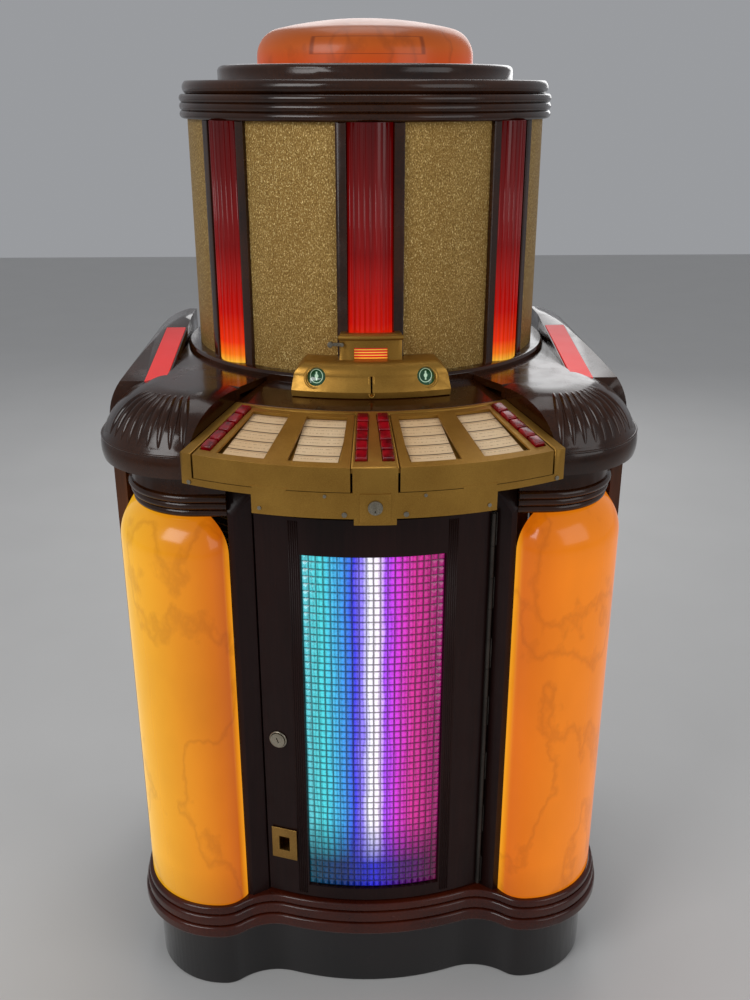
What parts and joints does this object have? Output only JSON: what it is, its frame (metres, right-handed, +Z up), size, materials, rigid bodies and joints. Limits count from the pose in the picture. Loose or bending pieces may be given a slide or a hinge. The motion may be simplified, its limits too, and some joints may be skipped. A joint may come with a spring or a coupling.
{
  "type": "jukebox",
  "caption": "Console jukebox: round cloth-fronted speaker drum on a lobed lit cabinet, bowed door with glowing ribbed window, sloping push-button selector and coin slot.",
  "frame": {"origin": "middle of the footprint on the floor", "axes": "+Z up, front faces -Y, +X to the right seen from the front"},
  "size_m": [0.8962, 0.71, 1.7],
  "materials": {
    "black_gloss": "gloss black lacquer on wood",
    "reddish_moulding": "gloss reddish brown lacquer",
    "cabinet_wood": "brown lacquered plywood",
    "dark_maroon": "dark maroon-brown lacquer",
    "ribbed_glass": "pressed prismatic glass",
    "aged_nickel": "worn nickel plate",
    "coin_brass": "worn satin brass",
    "hinge_steel": "dull steel",
    "amber_plastic": "marbled translucent amber plastic, lit from inside",
    "brown_moulding": "glossy dark brown moulding",
    "red_lit_plastic": "translucent red plastic, lit from inside",
    "gold_casting": "satin gold lacquer on a die casting",
    "title_card": "aged cream card",
    "green_lens": "dark green indicator lens",
    "grille_cloth": "gold woven grille cloth on plywood",
    "red_plastic": "fluted translucent red plastic, lit from below",
    "speaker_black": "black",
    "grey_steel": "grey enamel",
    "shellac_black": "shellac records on steel trays",
    "lamp_glass": "lit lamp glass",
    "tinted_film": "tinted translucent strips",
    "button_red": "dark red translucent buttons"
  },
  "bodies": {
    "cabinet": {"amber_panels": "amber_plastic", "amplifier": "grey_steel", "base_moulding": "reddish_moulding", "cabinet_shell": "cabinet_wood", "changer_frame": "grey_steel", "coin_housing": "gold_casting", "coin_housing_windows": "green_lens", "colour_screens": "tinted_film", "crown": "brown_moulding", "deck": "brown_moulding", "dome": "amber_plastic", "door_hinge_fixed": "hinge_steel", "drum_frame": "brown_moulding", "front_frame": "dark_maroon", "grille_panels": "grille_cloth", "lamps": "lamp_glass", "loudspeaker": "speaker_black", "mains_inlet": "speaker_black", "neck_mouldings": "brown_moulding", "pilasters": "red_plastic", "plinth": "black_gloss", "record_rack": "shellac_black", "screws": "aged_nickel", "selector_housing": "gold_casting", "shoulders": "brown_moulding", "side_windows": "red_lit_plastic", "title_strips": "title_card"},
    "front_door": {"front_door": "dark_maroon", "door_window": "ribbed_glass", "coin_return_cup": "coin_brass", "door_hinge_moving": "hinge_steel"},
    "front_door_lock": {"door_lock": "aged_nickel"},
    "rear_door": {"rear_door": "cabinet_wood"},
    "title_cover_left": {"title_cover_left": "gold_casting"},
    "title_cover_right": {"title_cover_right": "gold_casting"},
    "selector_lock": {"selector_lock": "aged_nickel"},
    "coin_lever": {"coin_lever": "aged_nickel"},
    "turntable": {"turntable": "grey_steel"},
    "tone_arm": {"tone_arm": "aged_nickel"},
    "cash_box": {"cash_box": "grey_steel"},
    "button_01": {"button_01": "button_red"},
    "button_02": {"button_02": "button_red"},
    "button_03": {"button_03": "button_red"},
    "button_04": {"button_04": "button_red"},
    "button_05": {"button_05": "button_red"},
    "button_06": {"button_06": "button_red"},
    "button_07": {"button_07": "button_red"},
    "button_08": {"button_08": "button_red"},
    "button_09": {"button_09": "button_red"},
    "button_10": {"button_10": "button_red"},
    "button_11": {"button_11": "button_red"},
    "button_12": {"button_12": "button_red"},
    "button_13": {"button_13": "button_red"},
    "button_14": {"button_14": "button_red"},
    "button_15": {"button_15": "button_red"},
    "button_16": {"button_16": "button_red"},
    "button_17": {"button_17": "button_red"},
    "button_18": {"button_18": "button_red"},
    "button_19": {"button_19": "button_red"},
    "button_20": {"button_20": "button_red"}
  },
  "joints": [
    {"name": "front_door_hinge", "type": "hinge", "parent": "cabinet", "child": "front_door", "pos_m": [0.19468, -0.22988, 0.58], "axis": [0, 0, 1], "range_deg": [0, 100]},
    {"name": "front_door_lock_turn", "type": "hinge", "parent": "front_door", "child": "front_door_lock", "pos_m": [-0.16508, -0.23604, 0.536], "axis": [-0.3404, -0.9403, 0], "range_deg": [0, 90]},
    {"name": "rear_door_hinge", "type": "hinge", "parent": "cabinet", "child": "rear_door", "pos_m": [-0.3598, 0.351, 0.63], "axis": [0, 0, 1], "range_deg": [0, 110]},
    {"name": "title_cover_left_hinge", "type": "hinge", "parent": "cabinet", "child": "title_cover_left", "pos_m": [-0.11746, -0.18428, 1.1184], "axis": [-0.9603, 0.279, 0], "range_deg": [0, 60]},
    {"name": "title_cover_right_hinge", "type": "hinge", "parent": "cabinet", "child": "title_cover_right", "pos_m": [0.11746, -0.18428, 1.1184], "axis": [-0.9603, -0.279, 0], "range_deg": [0, 60]},
    {"name": "selector_lock_turn", "type": "hinge", "parent": "cabinet", "child": "selector_lock", "pos_m": [0, -0.35, 1.015], "axis": [0, -1, 0], "range_deg": [0, 90]},
    {"name": "coin_lever_press", "type": "hinge", "parent": "cabinet", "child": "coin_lever", "pos_m": [-0.04378, -0.10809, 1.206], "axis": [-0.1323, -0.9912, 0], "range_deg": [0, 25], "stiffness_Nm_per_rad": 0.1, "springref_deg": -5.73},
    {"name": "turntable_spin", "type": "hinge", "parent": "cabinet", "child": "turntable", "pos_m": [0.19, 0.11, 0.67], "axis": [0, 0, 1], "continuous": true},
    {"name": "tone_arm_swing", "type": "hinge", "parent": "cabinet", "child": "tone_arm", "pos_m": [0.35, 0.23, 0.69], "axis": [0, 0, -1], "range_deg": [0, 40]},
    {"name": "cash_box_slide", "type": "slide", "parent": "cabinet", "child": "cash_box", "axis": [0, -1, 0], "range_m": [0, 0.08]},
    {"name": "button_01_press", "type": "slide", "parent": "cabinet", "child": "button_01", "axis": [0.1253, 0.2417, -0.9622], "range_m": [0, 0.004], "stiffness_N_per_m": 400, "springref_m": -0.002},
    {"name": "button_02_press", "type": "slide", "parent": "cabinet", "child": "button_02", "axis": [0.1253, 0.2417, -0.9622], "range_m": [0, 0.004], "stiffness_N_per_m": 400, "springref_m": -0.002},
    {"name": "button_03_press", "type": "slide", "parent": "cabinet", "child": "button_03", "axis": [0.1253, 0.2417, -0.9622], "range_m": [0, 0.004], "stiffness_N_per_m": 400, "springref_m": -0.002},
    {"name": "button_04_press", "type": "slide", "parent": "cabinet", "child": "button_04", "axis": [0.1253, 0.2417, -0.9622], "range_m": [0, 0.004], "stiffness_N_per_m": 400, "springref_m": -0.002},
    {"name": "button_05_press", "type": "slide", "parent": "cabinet", "child": "button_05", "axis": [0.1253, 0.2417, -0.9622], "range_m": [0, 0.004], "stiffness_N_per_m": 400, "springref_m": -0.002},
    {"name": "button_06_press", "type": "slide", "parent": "cabinet", "child": "button_06", "axis": [0.0094, 0.2721, -0.9622], "range_m": [0, 0.004], "stiffness_N_per_m": 400, "springref_m": -0.002},
    {"name": "button_07_press", "type": "slide", "parent": "cabinet", "child": "button_07", "axis": [0.0096, 0.2721, -0.9622], "range_m": [0, 0.004], "stiffness_N_per_m": 400, "springref_m": -0.002},
    {"name": "button_08_press", "type": "slide", "parent": "cabinet", "child": "button_08", "axis": [0.0097, 0.2721, -0.9622], "range_m": [0, 0.004], "stiffness_N_per_m": 400, "springref_m": -0.002},
    {"name": "button_09_press", "type": "slide", "parent": "cabinet", "child": "button_09", "axis": [0.0098, 0.2721, -0.9622], "range_m": [0, 0.004], "stiffness_N_per_m": 400, "springref_m": -0.002},
    {"name": "button_10_press", "type": "slide", "parent": "cabinet", "child": "button_10", "axis": [0.0099, 0.2721, -0.9622], "range_m": [0, 0.004], "stiffness_N_per_m": 400, "springref_m": -0.002},
    {"name": "button_11_press", "type": "slide", "parent": "cabinet", "child": "button_11", "axis": [-0.0094, 0.2721, -0.9622], "range_m": [0, 0.004], "stiffness_N_per_m": 400, "springref_m": -0.002},
    {"name": "button_12_press", "type": "slide", "parent": "cabinet", "child": "button_12", "axis": [-0.0096, 0.2721, -0.9622], "range_m": [0, 0.004], "stiffness_N_per_m": 400, "springref_m": -0.002},
    {"name": "button_13_press", "type": "slide", "parent": "cabinet", "child": "button_13", "axis": [-0.0097, 0.2721, -0.9622], "range_m": [0, 0.004], "stiffness_N_per_m": 400, "springref_m": -0.002},
    {"name": "button_14_press", "type": "slide", "parent": "cabinet", "child": "button_14", "axis": [-0.0098, 0.2721, -0.9622], "range_m": [0, 0.004], "stiffness_N_per_m": 400, "springref_m": -0.002},
    {"name": "button_15_press", "type": "slide", "parent": "cabinet", "child": "button_15", "axis": [-0.0099, 0.2721, -0.9622], "range_m": [0, 0.004], "stiffness_N_per_m": 400, "springref_m": -0.002},
    {"name": "button_16_press", "type": "slide", "parent": "cabinet", "child": "button_16", "axis": [-0.1253, 0.2417, -0.9622], "range_m": [0, 0.004], "stiffness_N_per_m": 400, "springref_m": -0.002},
    {"name": "button_17_press", "type": "slide", "parent": "cabinet", "child": "button_17", "axis": [-0.1253, 0.2417, -0.9622], "range_m": [0, 0.004], "stiffness_N_per_m": 400, "springref_m": -0.002},
    {"name": "button_18_press", "type": "slide", "parent": "cabinet", "child": "button_18", "axis": [-0.1253, 0.2417, -0.9622], "range_m": [0, 0.004], "stiffness_N_per_m": 400, "springref_m": -0.002},
    {"name": "button_19_press", "type": "slide", "parent": "cabinet", "child": "button_19", "axis": [-0.1253, 0.2417, -0.9622], "range_m": [0, 0.004], "stiffness_N_per_m": 400, "springref_m": -0.002},
    {"name": "button_20_press", "type": "slide", "parent": "cabinet", "child": "button_20", "axis": [-0.1253, 0.2417, -0.9622], "range_m": [0, 0.004], "stiffness_N_per_m": 400, "springref_m": -0.002}
  ]
}
